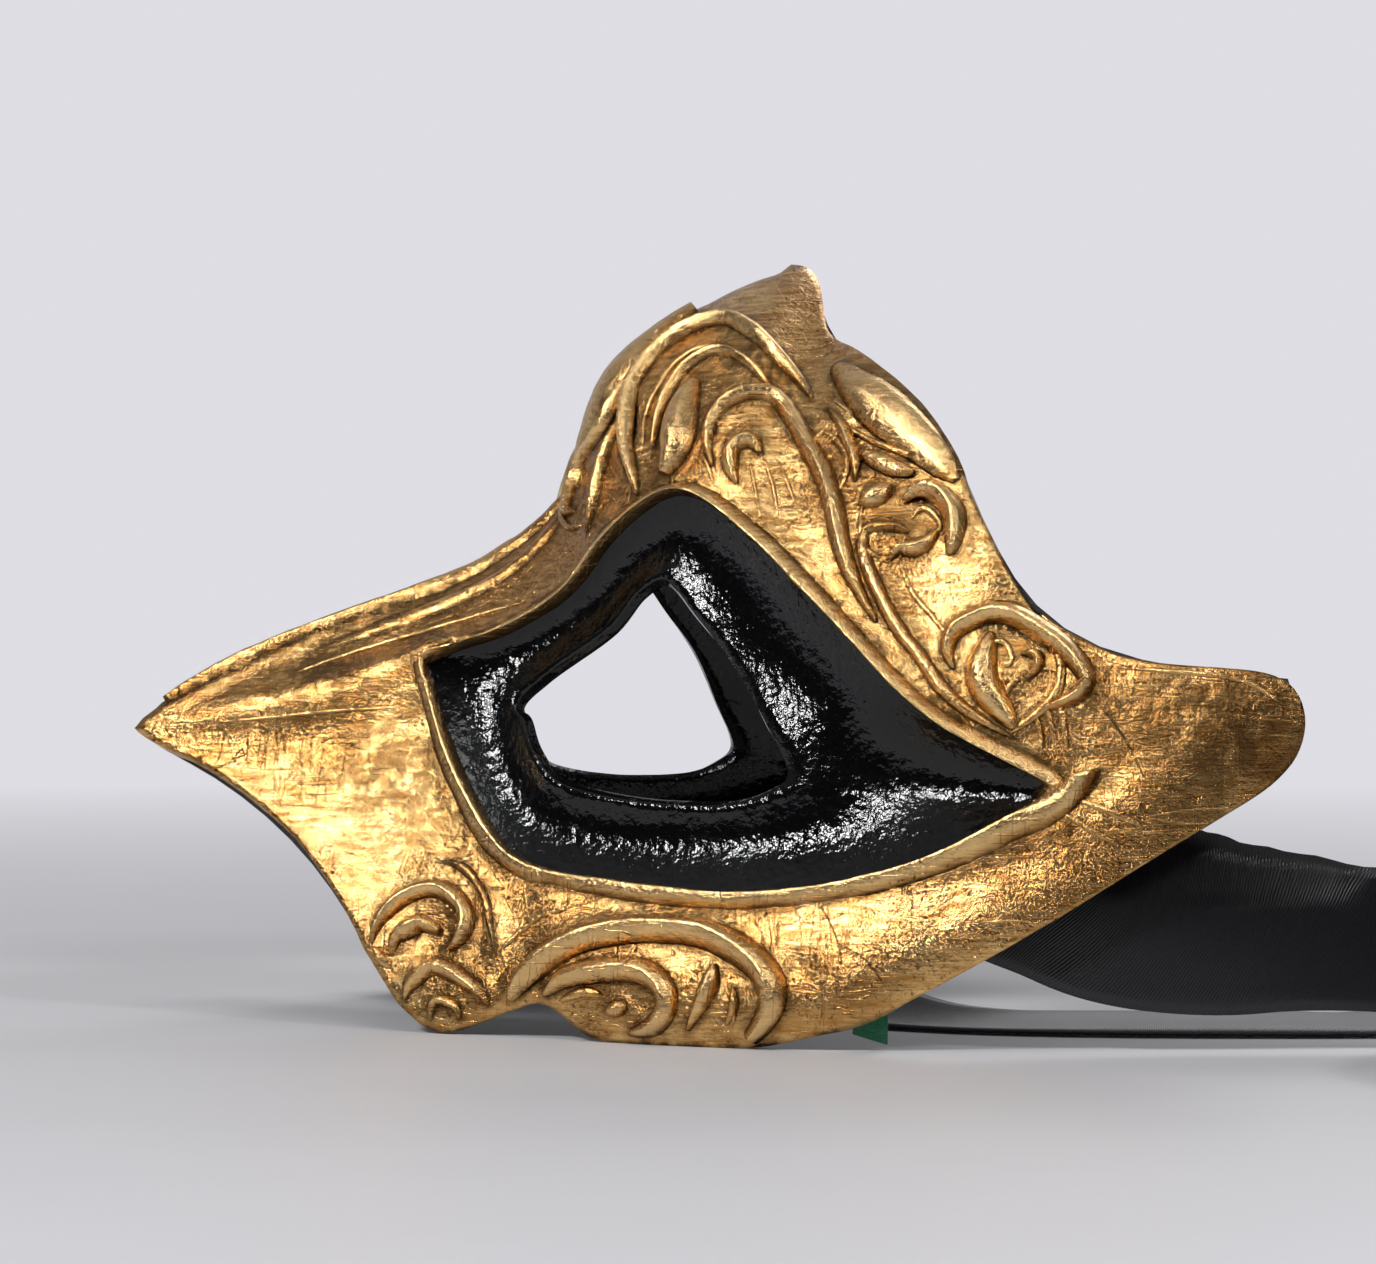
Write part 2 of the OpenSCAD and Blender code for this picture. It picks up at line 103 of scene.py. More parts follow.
# ---------------------------------------------------------------- the ribbons
RIBBON_LENGTH = 0.45
RIBBON_WIDTH = 0.020
RIBBON_T = 0.0004
ROLL_R = 0.052
ROLL_GAP = 0.008
LEFT_ROLL_AT = (0.122, 0.140)
RIGHT_ROLL_AT = (-0.008, 0.164)
# Each ribbon's middle line as (x, y, z, lean of its width from upright in degrees)
LEFT_ROUTE = [
    (0.0625, 0.034, 0.024, -32), (0.0645, 0.040, 0.022, -24), (0.067, 0.046, 0.020, -14),
    (0.0685, 0.052, 0.0175, -8), (0.0695, 0.058, 0.016, -4), (0.070, 0.065, 0.0152, -1),
    (0.070, 0.072, 0.015, 0), (0.070, 0.080, 0.0155, 0), (0.070, 0.088, 0.0155, 0),
    (0.070, 0.096, 0.015, 0), (0.070, 0.104, 0.0135, 0), (0.070, 0.112, 0.012, 0),
    (0.070, 0.119, 0.011, 0), (0.070, 0.126, 0.0104, 0), (0.070, 0.1335, 0.0102, 0),
    (0.070, 0.140, 0.0102, 0)]
RIGHT_ROUTE = [
    (-0.060, 0.036, 0.024, -32), (-0.053, 0.027, 0.021, -28), (-0.044, 0.021, 0.018, -24),
    (-0.034, 0.0165, 0.015, -24), (-0.023, 0.014, 0.0125, -28), (-0.012, 0.014, 0.010, -38),
    (-0.001, 0.0155, 0.007, -52), (0.010, 0.020, 0.004, -70), (0.019, 0.026, 0.0025, -82),
    (0.027, 0.033, 0.0015, -85), (0.0335, 0.042, 0.0012, -86), (0.0375, 0.052, 0.0012, -86),
    (0.040, 0.063, 0.0012, -86), (0.0415, 0.074, 0.0012, -86), (0.0425, 0.085, 0.0012, -86),
    (0.043, 0.096, 0.0012, -86), (0.0435, 0.107, 0.0025, -76), (0.044, 0.118, 0.0055, -57),
    (0.044, 0.130, 0.0085, -32), (0.044, 0.142, 0.010, -8), (0.044, 0.153, 0.0102, 0),
    (0.044, 0.164, 0.0102, 0)]
ROUTE_STEPS = 4
ROLL_STEP = math.radians(6)
# The fold that stands above the left ribbon behind the temple, as (y, height) in millimetres
FOLD = [(50, 0.0), (56, 5.5), (63, 6.5), (70, 5.0), (76, 3.2), (82, 1.6), (90, 0.0)]
FOLD_BEHIND = 0.0022
HALF_SECTION = 12
SELVEDGE = 0.00035
END_SLANT = 0.004
# The ribbon's middle bows out and in along it: how far, how fast in radians per metre, and from where
CROWN = 0.0010
CROWN_TURNS = 48
CROWN_START = 0.6


def ribbon_line(route, roll_at, turn_sign):
    """The ribbon's whole middle line as (point, lean): along its route and then wound into its roll."""
    line = [(Vector(p[:3]), p[3]) for p in through(route, ROUTE_STEPS)]
    used = sum((line[i + 1][0] - line[i][0]).length for i in range(len(line) - 1))
    centre = Vector((roll_at[0], roll_at[1], line[-1][0].z))
    start = math.atan2(line[-1][0].y - centre.y, line[-1][0].x - centre.x)
    angle = 0.0
    before = line[-1][0]
    while used < RIBBON_LENGTH:
        angle += ROLL_STEP
        radius = ROLL_R - ROLL_GAP * angle / (2 * math.pi)
        a = start + turn_sign * angle
        here = centre + radius * Vector((math.cos(a), math.sin(a), 0))
        gone = (here - before).length
        if used + gone > RIBBON_LENGTH:
            here = before + (here - before) * ((RIBBON_LENGTH - used) / gone)
            gone = RIBBON_LENGTH - used
        used += gone
        line.append((here, 0.0))
        before = here
    return line


def fold_height(y):
    for (a, ha), (b, hb) in zip(FOLD, FOLD[1:]):
        if a <= y / MM <= b:
            return (ha + (hb - ha) * smooth_step((y / MM - a) / (b - a))) * MM
    return 0.0


def make_ribbon(name, line, folded):
    """A thin band with a selvedge along both edges and a slanting cut end."""
    bm = bmesh.new()
    places = []
    rings = []
    along = 0.0
    for i, (p, lean) in enumerate(line):
        if i:
            along += (p - line[i - 1][0]).length
        ahead = (line[min(i + 1, len(line) - 1)][0] - line[max(i - 1, 0)][0]).normalized()
        side = ahead.cross(Vector((0, 0, 1))).normalized()
        top = side.cross(ahead)
        turn = math.radians(lean)
        wide = top * math.cos(turn) + side * math.sin(turn)
        thick = ahead.cross(wide)
        slant = END_SLANT if i == len(line) - 1 else 0.0
        rise = fold_height(p.y) if folded else 0.0
        front, rear = [], []
        for k in range(HALF_SECTION + 1):
            u = -1 + 2 * k / HALF_SECTION
            near_edge = min(k, HALF_SECTION - k)
            t = (SELVEDGE if near_edge == 1 else RIBBON_T / 2) if near_edge else RIBBON_T / 4
            centre = p + wide * (u * RIBBON_WIDTH / 2) - ahead * slant * (u + 1) / 2
            bow = CROWN * math.cos(u * math.pi / 2) * math.sin(along * CROWN_TURNS + CROWN_START)
            centre += thick * bow
            if rise and k >= HALF_SECTION - 2:
                share = (k - HALF_SECTION + 3) / 3
                centre += Vector((-FOLD_BEHIND * share, 0, rise * share ** 1.5))
            front.append(centre + thick * t)
            rear.append(centre - thick * t)
        rings.append([bm.verts.new(v) for v in front + rear[::-1]])
        places.append(along)
    n = len(rings[0])
    uv = bm.loops.layers.uv.new("weave")
    for i in range(len(rings) - 1):
        for k in range(n):
            m = (k + 1) % n
            f = bm.faces.new((rings[i][k], rings[i][m], rings[i + 1][m], rings[i + 1][k]))
            across = [min(j, n - 1 - j) / HALF_SECTION * RIBBON_WIDTH for j in (k, m)]
            corners = ((places[i], across[0]), (places[i], across[1]),
                       (places[i + 1], across[1]), (places[i + 1], across[0]))
            for loop, (s, t) in zip(f.loops, corners):
                loop[uv].uv = (s / MM, t / MM)
    bm.faces.new(rings[0][::-1])
    bm.faces.new(rings[-1])
    bmesh.ops.recalc_face_normals(bm, faces=bm.faces)
    mesh = bpy.data.meshes.new(name)
    bm.to_mesh(mesh)
    bm.free()
    obj = new_object(name, mesh)
    node = name.replace("_satin", "")
    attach(obj, "root")
    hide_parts(node, node + "_roll")
    return obj


left_satin = make_ribbon("left_ribbon_satin", ribbon_line(LEFT_ROUTE, LEFT_ROLL_AT, -1), True)
right_satin = make_ribbon("right_ribbon_satin", ribbon_line(RIGHT_ROUTE, RIGHT_ROLL_AT, 1), False)


# ---------------------------------------------------------------- fine copies of the CAD pieces
SIDES = {"left": 1, "right": -1}
RELIEF = ["arch", "brow_drop", "brow_stem", "forehead_scroll", "vine", "middle_scroll",
          "temple_scroll", "wing_leaf", "front_cheek_scroll", "rear_cheek_scroll", "nose_roll",
          "upper_bead", "lower_bead", "nose_ridge", "forehead_lobe"]
# Edges sharper than this stay sharp. Points nearer than WELD are one, and triangles join into quads.
SHARP = math.radians(55)
WELD = 0.002 * MM
QUAD_FACE = math.radians(40)
QUAD_SHAPE = math.radians(60)
# The gesso that rounds off the foot of each scroll: its height, and how far it reaches
FILLET = 0.35 * MM
FILLET_REACH = 1.2 * MM
# Hand-made unevenness, as (size of the lumps, height), in millimetres. The scrolls have smaller
# lumps than the wall by RELIEF_FINER, and RELIEF_SHARE and PANEL_SHARE of its height.
LUMPS = [(14, 0.22), (5, 0.10), (2, 0.05)]
RELIEF_FINER = 1.7
RELIEF_SHARE = 0.8
PANEL_SHARE = 0.5
# Hollows and swellings of the wall, as (y, z, radius, height) in millimetres, seen from the side
SHAPING = [
    (-34, 50, 5.5, 0.9), (-36, 57, 4.5, 0.8),
    (-7, 88, 3.0, -0.9), (-6, 83, 2.5, -0.7), (8, 88, 4.0, 0.5),
    (23, 85, 3.0, -1.0), (14, 78, 4.0, -0.4),
    (33, 76, 4.0, -1.0), (28, 81, 3.0, -0.5), (24, 72, 3.0, 0.7),
    (46, 59, 4.0, -1.1), (41, 52, 3.0, 0.6), (38, 66, 4.0, 0.4),
    (-24, 11, 3.0, -0.8), (-20, 20, 3.5, 0.5), (4, 13, 4.0, -0.4),
    (-37, 14, 3.0, -0.8), (12, 11, 3.0, -0.8), (20, 6, 6.0, 0.9), (28, 16, 7.0, -0.3)]
# Where the leaf is darkened by brown glaze and by painted shade standing in for the dark room reflected
# in the temple wing and the side of the nose, as (y, z, radius, strength) in millimetres
GLAZE_AND_SHADE_SPOTS = [
    (68, 46, 16, 1.0), (54, 43, 8, 0.7), (-53, 51, 9, 0.95), (-38, 57, 8, 0.9), (-66, 45, 6, 0.6),
    (-60, 40, 6, 0.6), (-43, 36, 14, 0.9), (-43, 24, 6, 0.5), (62, 34, 6, 0.6),
    (2, 94, 7, 0.5), (-12, 82, 8, 0.5), (31, 76, 6, 0.5), (24, 82, 5, 0.6), (46, 58, 6, 0.5),
    (-36, 10, 7, 0.5), (-24, 14, 6, 0.5), (12, 78, 6, 0.35)]
# The wall keeps its shape near its flat feet, and changes freely from this height
FREE_FROM = 4 * MM
# The hollows and swellings are on both sides of the face, and the strip along its middle has none
MIDDLE_STRIP = 8 * MM
# A spot fades out with its distance squared over its radius squared, and ends at this
SPOT_ENDS = 5
# How near a scroll's foot brown glaze and painted shade gather on the wall, and the heights above the
# wall, in millimetres, over which a scroll goes from glazed and shaded to clean and from dull to rubbed
# bright with a painted highlight
GLAZE_AND_SHADE_REACH = 0.5 * MM
GLAZED_AND_SHADED = (0.2, 0.7)
RUBBED_AND_LIT = (0.5, 1.3)


def subdivided(node, levels):
    """A smooth, fine copy of a CAD node's mesh. Its sharp edges stay where they are."""
    bm = bmesh.new()
    bm.from_mesh(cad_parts[node].data)
    bmesh.ops.remove_doubles(bm, verts=bm.verts, dist=WELD)
    bmesh.ops.join_triangles(bm, faces=bm.faces, angle_face_threshold=QUAD_FACE,
                             angle_shape_threshold=QUAD_SHAPE)
    crease = bm.edges.layers.float.new("crease_edge")
    for e in bm.edges:
        if len(e.link_faces) == 2 and e.calc_face_angle(0) > SHARP:
            e[crease] = 1.0
    mesh = bpy.data.meshes.new(node + "_rough")
    bm.to_mesh(mesh)
    bm.free()
    rough = new_object(node + "_rough", mesh)
    sub = rough.modifiers.new("fine", "SUBSURF")
    sub.levels = levels
    bpy.context.view_layer.update()
    shown = rough.evaluated_get(bpy.context.evaluated_depsgraph_get())
    fine = bpy.data.meshes.new_from_object(shown)
    bpy.data.objects.remove(rough)
    fine.name = node + "_fine"
    return fine


def lumpy(co, share=1.0):
    return share * MM * sum(h * noise.noise(co / (size * MM)) for size, h in LUMPS)


def tree_of(meshes):
    points, faces = [], []
    for mesh in meshes:
        start = len(points)
        points += [v.co.copy() for v in mesh.vertices]
        faces += [[start + i for i in p.vertices] for p in mesh.polygons]
    return BVHTree.FromPolygons(points, faces)


def shift(mesh, moves):
    """Moves every vertex at once, after all the moves are known, because they follow the normals."""
    for v, move in zip(mesh.vertices, moves):
        v.co += move


def mark(mesh, **layers):
    """Stores values on the vertices: one layer where brown glaze and painted shade darken the leaf, and
    the proud layer where the leaf is rubbed and brightened by a painted highlight.
    """
    for word, values in layers.items():
        mesh.attributes.new(word, "FLOAT", "POINT").data.foreach_set("value", values)


# Painted shade with brown glaze: how strongly the listed spots darken the leaf at a point
def glaze_and_shade_at(co):
    y, z = co.y / MM, co.z / MM
    return max(h * math.exp(-((y - py) ** 2 + (z - pz) ** 2) / (r * r)) for py, pz, r, h in GLAZE_AND_SHADE_SPOTS)


def shape_wall(mesh, relief):
    """Raises the gesso round the scrolls, presses in the hollows, and marks where brown glaze and
    painted shade darken the wall.
    """
    moves = []
    hollow = []
    for v in mesh.vertices:
        side = 1 if v.co.x >= 0 else -1
        outer = v.normal.x * side > -0.1 or abs(v.co.x) < 4 * MM and v.normal.y < 0.3
        gap = relief.find_nearest(v.co)[3]
        near = math.exp(-(gap / FILLET_REACH) ** 2)
        push = 0.0
        if outer:
            push = FILLET * near
            for y, z, radius, height in SHAPING:
                far = ((v.co.y / MM - y) ** 2 + (v.co.z / MM - z) ** 2) / (radius * radius)
                if far < SPOT_ENDS and abs(v.co.x) > MIDDLE_STRIP:
                    push += height * MM * math.exp(-far)
        free = smooth_step(v.co.z / FREE_FROM)
        moves.append(v.normal * (push + lumpy(v.co)) * free)
        # Painted shade with brown glaze: darkest at the scrolls' feet and at the listed spots
        hollow.append(max(math.exp(-(gap / GLAZE_AND_SHADE_REACH) ** 2), glaze_and_shade_at(v.co)))
    shift(mesh, moves)
    mark(mesh, hollow=hollow, proud=[0.0] * len(hollow))


def shape_relief(mesh, wall):
    """Makes a scroll a little uneven, and marks its foot, darkened by glaze and painted shade, and its
    rubbed top, lightened by a painted highlight.
    """
    gaps = [wall.find_nearest(v.co)[3] / MM for v in mesh.vertices]
    # Painted shade with glaze at the scroll's foot, painted highlight with rubbed leaf on its raised
    # top
    mark(mesh, hollow=[1 - part_way(gap, GLAZED_AND_SHADED) for gap in gaps],
         proud=[part_way(gap, RUBBED_AND_LIT) for gap in gaps])
    shift(mesh, [v.normal * lumpy(v.co * RELIEF_FINER, RELIEF_SHARE) for v in mesh.vertices])


def relief_node(node):
    return any(node.endswith(word) for word in RELIEF)


def make_piece(node, mesh):
    obj = new_object(node + "_fine", mesh)
    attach(obj, "root")
    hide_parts(node)
    return obj


# Fine raised lines as (half width, height, [(y, z), ...]) in millimetres, seen from the side
FINE_LINES = {
    "temple_lines": [
        (0.5, 0.45, [(46, 49), (47, 45), (47.5, 41.5)]),
        (0.6, 0.5, [(47.5, 50.5), (48.5, 46), (49, 42)]),
        (0.45, 0.4, [(44.5, 47.5), (45.5, 44), (45.5, 41)]),
        (0.5, 0.6, [(40.5, 63.5), (41, 62)]),
        (1.0, 0.8, [(47, 57), (48.5, 54), (48, 50), (45.5, 47), (41.5, 44)]),
        (0.5, 0.6, [(41, 49), (41.5, 50.5), (43, 51.5)]),
        (0.6, 0.6, [(39.5, 55), (40, 56.5), (41.5, 56), (42, 54), (41, 53)])],
    "wing_lines": [
        (0.7, 0.8, [(21.5, 87), (25.5, 84.5), (30.5, 82.5), (37, 80.5)]),
        (0.35, 0.3, [(21, 94), (26, 90.5), (31, 86.5), (35, 83)]),
        (0.35, 0.3, [(20, 91), (24, 88), (29, 85)]),
        (0.7, 0.9, [(17, 84.5), (18.5, 86), (20.5, 84.5), (21.5, 82), (21, 79.5), (20, 77.5)]),
        (0.6, 0.7, [(29.5, 73.5), (31, 75), (32.5, 74.5), (33.5, 72.5), (32, 70.5)]),
        (0.6, 0.7, [(23, 75.5), (22.5, 72.5), (23, 69.5), (25, 68)]),
        (0.5, 0.5, [(27.5, 68), (29, 63.5), (32, 59.5), (34.5, 56)]),
        (0.45, 0.35, [(56, 53), (64, 52.5), (72, 51.5), (77, 48.5)])],
    "brow_lines": [
        (0.4, 0.4, [(8, 82), (8.5, 78), (9, 73.5)]),
        (0.4, 0.4, [(10, 82.5), (11, 78.5), (11.5, 74)]),
        (0.4, 0.4, [(12, 82), (13, 79), (14, 75.5)]),
        (0.4, 0.4, [(1.5, 83), (2.3, 80.5), (2.8, 78.4)]),
        (0.6, 0.6, [(-6.5, 84.5), (-6, 88.5), (-4, 93), (-1.5, 96.5), (2.5, 99), (6.5, 99)]),
        (0.7, 0.8, [(-17.6, 76), (-17.7, 74), (-16.8, 72.4), (-15.2, 72.8)])],
    "nose_lines": [
        (0.35, 0.3, [(-70, 43.5), (-60, 44.5), (-51, 45.5), (-42, 46)]),
        (0.5, 0.4, [(-57, 51), (-50, 53.5), (-42, 56), (-32, 59), (-24, 61.5)])],
    "cheek_lines": [
        (0.5, 0.5, [(2.5, 8.5), (3.5, 6), (3.5, 3.5)]),
        (0.9, 0.8, [(-20, 5.5), (-16.5, 7), (-14, 6.5)]),
        (0.9, 0.9, [(-46, 12), (-45, 10.5), (-43.5, 9)]),
        (0.6, 0.5, [(-28.5, 12), (-26, 14), (-22.5, 17), (-18, 18.5)]),
        (0.6, 0.4, [(50, 35), (54, 33.5), (58.5, 31.5)]),
        (0.5, 0.4, [(47.5, 33.5), (51.5, 31), (55, 29)])],
    "glaze_cracks": [
        (0.25, 0.10, [(-30.5, 20), (-29.5, 15.5), (-28, 11.5), (-27, 8.5)]),
        (0.15, 0.08, [(15, 21), (17, 17), (18, 13), (17.5, 9)]),
        (0.15, 0.08, [(17.5, 15), (21, 13), (24, 9)]),
        (0.2, 0.08, [(52, 50), (56.5, 43.5), (59, 38)])]}
# A fine line's section as shares of (half width, height), its rings between two points, how much of
# its size is left at its ends, and how brightly it is rubbed and lit by a painted highlight
LINE_SECTION = [(-1, -0.3), (-0.7, 0.6), (0, 1), (0.7, 0.6), (1, -0.3)]
LINE_STEPS = 5
LINE_ENDS = 0.15
LINE_RUBBED_AND_LIT = 0.5
# Where a line of sight starts, left of the whole mask, and where the nearest wall is looked for if it
# meets none
BEYOND = 0.2
INSIDE = 0.06


def on_wall(wall, y, z):
    """The point of the wall's left side that is seen at (y, z) millimetres, and its normal."""
    start = Vector((BEYOND, y * MM, z * MM))
    point, normal = wall.ray_cast(start, Vector((-1, 0, 0)))[:2]
    if point is None:
        point, normal = wall.find_nearest(Vector((INSIDE, y * MM, z * MM)))[:2]
    return point, normal if normal.x > 0 else -normal


def fine_lines(name, side, lines, wall):
    """Raised lines that lie on the wall and run out to points at both ends."""
    bm = bmesh.new()
    for half, height, route in lines:
        spots = [on_wall(wall, y, z) for y, z in through(route, LINE_STEPS)]
        rings = []
        for i, (p, normal) in enumerate(spots):
            a, b = spots[max(0, i - 1)][0], spots[min(len(spots) - 1, i + 1)][0]
            across = normal.cross(b - a).normalized()
            swell = math.sin(math.pi * i / (len(spots) - 1)) ** 0.6
            full = LINE_ENDS + (1 - LINE_ENDS) * swell
            ring = [p + (across * (u * half) + normal * (v * height)) * (full * MM)
                    for u, v in LINE_SECTION]
            rings.append([bm.verts.new((side * q.x, q.y, q.z)) for q in ring])
        n = len(LINE_SECTION)
        for near, far in zip(rings, rings[1:]):
            for k in range(n):
                bm.faces.new((near[k], near[(k + 1) % n], far[(k + 1) % n], far[k]))
        bm.faces.new(rings[0][::-1])
        bm.faces.new(rings[-1])
    bmesh.ops.recalc_face_normals(bm, faces=bm.faces)
    mesh = bpy.data.meshes.new(name)
    bm.to_mesh(mesh)
    bm.free()
    count = len(mesh.vertices)
    # Cracks take the full glaze and painted shade, other lines rubbed leaf with a painted highlight
    if "crack" in name:
        mark(mesh, hollow=[1.0] * count, proud=[0.0] * count)
    else:
        mark(mesh, hollow=[0.0] * count, proud=[LINE_RUBBED_AND_LIT] * count)
    obj = new_object(name, mesh)
    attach(obj, "root")
    return obj


nodes = [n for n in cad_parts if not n.endswith(("_ribbon", "_ribbon_roll"))]
meshes = {n: subdivided(n, 2 if relief_node(n) or n == "shell" or "panel" in n else 1)
          for n in nodes}
shape_wall(meshes["shell"], tree_of([meshes[n] for n in nodes if relief_node(n)]))
wall_tree = tree_of([meshes["shell"]])
for n in nodes:
    if relief_node(n):
        shape_relief(meshes[n], wall_tree)
    elif "panel" in n:
        shift(meshes[n], [v.normal * lumpy(v.co, PANEL_SHARE) for v in meshes[n].vertices])
pieces = {n: make_piece(n, meshes[n]) for n in nodes}
for side_name, side in SIDES.items():
    for word, lines in FINE_LINES.items():
        name = side_name + "_" + word
        pieces[name] = fine_lines(name, side, lines, wall_tree)


# ---------------------------------------------------------------- materials
def nodes_of(name):
    mat = bpy.data.materials.new(name)
    mat.use_nodes = True
    tree = mat.node_tree
    return mat, tree, tree.nodes["Principled BSDF"]


def add(tree, kind, **inputs):
    node = tree.nodes.new(kind)
    for key, value in inputs.items():
        if hasattr(node, key):
            setattr(node, key, value)
        else:
            node.inputs[key].default_value = value
    return node


def ramp(tree, source, stops):
    node = tree.nodes.new("ShaderNodeValToRGB")
    while len(node.color_ramp.elements) < len(stops):
        node.color_ramp.elements.new(0.5)
    for element, (place, colour) in zip(node.color_ramp.elements, stops):
        element.position = place
        element.color = (colour,) * 3 + (1,)
    tree.links.new(source, node.inputs[0])
    return node.outputs[0]


def noise_of(tree, scale, detail=4.0, rough=0.55, stretch=None, turn=None):
    """Noise over the surface, whose grain may be stretched and turned."""
    source = tree.nodes.new("ShaderNodeTexCoord").outputs["Object"]
    if stretch:
        mapping = add(tree, "ShaderNodeMapping")
        mapping.inputs["Scale"].default_value = stretch
        mapping.inputs["Rotation"].default_value = [math.radians(a) for a in (turn or (0, 0, 0))]
        tree.links.new(source, mapping.inputs["Vector"])
        source = mapping.outputs["Vector"]
    node = add(tree, "ShaderNodeTexNoise", Scale=scale, Detail=detail, Roughness=rough)
    tree.links.new(source, node.inputs["Vector"])
    return node.outputs["Fac"]


def math_of(tree, operation, a, b):
    node = tree.nodes.new("ShaderNodeMath")
    node.operation = operation
    for socket, value in zip(node.inputs, (a, b)):
        if isinstance(value, (int, float)):
            socket.default_value = value
        else:
            tree.links.new(value, socket)
    return node.outputs[0]


def mix_of(tree, fac, a, b):
    node = tree.nodes.new("ShaderNodeMix")
    node.data_type = "RGBA"
    for socket, value in ((node.inputs["Factor"], fac), (node.inputs[6], a), (node.inputs[7], b)):
        if isinstance(value, (tuple, list)):
            socket.default_value = tuple(value) + (1,)
        elif isinstance(value, (int, float)):
            socket.default_value = value
        else:
            tree.links.new(value, socket)
    return node.outputs[2]


def bump_of(tree, height, strength, distance, under=None):
    node = add(tree, "ShaderNodeBump", Strength=strength, Distance=distance)
    tree.links.new(height, node.inputs["Height"])
    if under:
        tree.links.new(under, node.inputs["Normal"])
    return node.outputs["Normal"]


def scratches(tree, scale, stretch, turn, width=0.012):
    """Long thin scratches: the places where stretched noise crosses its middle value."""
    lines = noise_of(tree, scale, 2.0, 0.5, stretch, turn)
    return ramp(tree, lines, [(0.5 - width, 0.0), (0.5, 1.0), (0.5 + width, 0.0)])


# The gold: clean leaf between its dull and bright streaks, leaf worn thin, leaf rubbed bright with a
# painted highlight, and the brown of glaze and painted shade
LEAF_DULL = (0.52, 0.25, 0.062)
LEAF_BRIGHT = (1.0, 0.66, 0.27)
LEAF_THIN = (0.40, 0.18, 0.042)
LEAF_RUBBED_AND_LIT = (1.0, 0.70, 0.32)
GLAZE_AND_SHADE_BROWN = (0.050, 0.021, 0.006)
LACQUER_BLACK = (0.0025, 0.0027, 0.0032)
LACQUER_CHIP = (0.05, 0.05, 0.05)
SATIN_LOW = (0.0006, 0.0006, 0.0009)
SATIN_HIGH = (0.012, 0.011, 0.015)
FELT_BLACK = (0.012, 0.012, 0.013)
FELT_GREEN = (0.0, 0.16, 0.06)


def gold_leaf():
    """Brushed and scratched leaf under brown glaze and painted shade that gather in the hollows, with a
    painted highlight on its raised parts.
    """
    mat, tree, bsdf = nodes_of("gold_leaf")
    broad = noise_of(tree, 45, 4)
    patches = noise_of(tree, 260, 5, 0.65)
    grain = noise_of(tree, 1400, 4, 0.65)
    brushed = noise_of(tree, 520, 5, 0.7, (1, 0.2, 2.8), (20, 0, 0))
    marks = math_of(tree, "MAXIMUM", scratches(tree, 150, (1, 0.12, 3), (38, 0, 0)),
                    scratches(tree, 120, (1, 3, 0.15), (24, 0, 0)))
    marks = math_of(tree, "MULTIPLY", marks, ramp(tree, broad, [(0.45, 0.0), (0.62, 1.0)]))
    foot = add(tree, "ShaderNodeAttribute", attribute_name="hollow").outputs["Fac"]
    proud = add(tree, "ShaderNodeAttribute", attribute_name="proud").outputs["Fac"]
    # Painted shade: ambient occlusion darkens the creases towards the glaze brown
    ao = add(tree, "ShaderNodeAmbientOcclusion", Distance=0.005)
    ao.samples = 8
    painted_ao_shade = ramp(tree, ao.outputs["AO"], [(0.2, 1.0), (0.75, 0.0)])
    # glaze here holds both brown glaze and painted shade
    glaze = math_of(tree, "MAXIMUM", math_of(tree, "MULTIPLY", foot, 0.85), painted_ao_shade)
    glaze = math_of(tree, "MULTIPLY", glaze, ramp(tree, patches, [(0.38, 0.3), (0.52, 1.0)]))
    specks = ramp(tree, grain, [(0.56, 0.0), (0.63, 0.95)])
    specks = math_of(tree, "MULTIPLY", specks, ramp(tree, patches, [(0.42, 0.1), (0.62, 1.0)]))
    dark = math_of(tree, "MAXIMUM", glaze, math_of(tree, "MAXIMUM", specks,
                                                    math_of(tree, "MULTIPLY", marks, 0.4)))
    # Painted highlight with rubbed leaf: raised parts lose their darkening and turn lighter
    dark = math_of(tree, "MULTIPLY", dark, ramp(tree, proud, [(0.2, 1.0), (1.0, 0.35)]))
    leaf = mix_of(tree, ramp(tree, brushed, [(0.36, 0.0), (0.62, 1.0)]), LEAF_DULL, LEAF_BRIGHT)
    leaf = mix_of(tree, ramp(tree, broad, [(0.42, 0.0), (0.66, 0.75)]), leaf, LEAF_THIN)
    leaf = mix_of(tree, ramp(tree, proud, [(0.3, 0.0), (1.0, 0.6)]), leaf, LEAF_RUBBED_AND_LIT)
    tree.links.new(mix_of(tree, dark, leaf, GLAZE_AND_SHADE_BROWN), bsdf.inputs["Base Color"])
    bsdf.inputs["Metallic"].default_value = 1.0
    dull = math_of(tree, "ADD", math_of(tree, "MULTIPLY", dark, 0.5),
                   math_of(tree, "MULTIPLY", patches, 0.5))
    tree.links.new(ramp(tree, dull, [(0.15, 0.12), (0.75, 0.28)]), bsdf.inputs["Roughness"])
    relief = bump_of(tree, patches, 0.27, 0.0010)
    relief = bump_of(tree, brushed, 0.24, 0.0005, relief)
    relief = bump_of(tree, grain, 0.5, 0.0003, relief)
    tree.links.new(bump_of(tree, marks, 0.6, 0.0002, relief), bsdf.inputs["Normal"])
    return mat


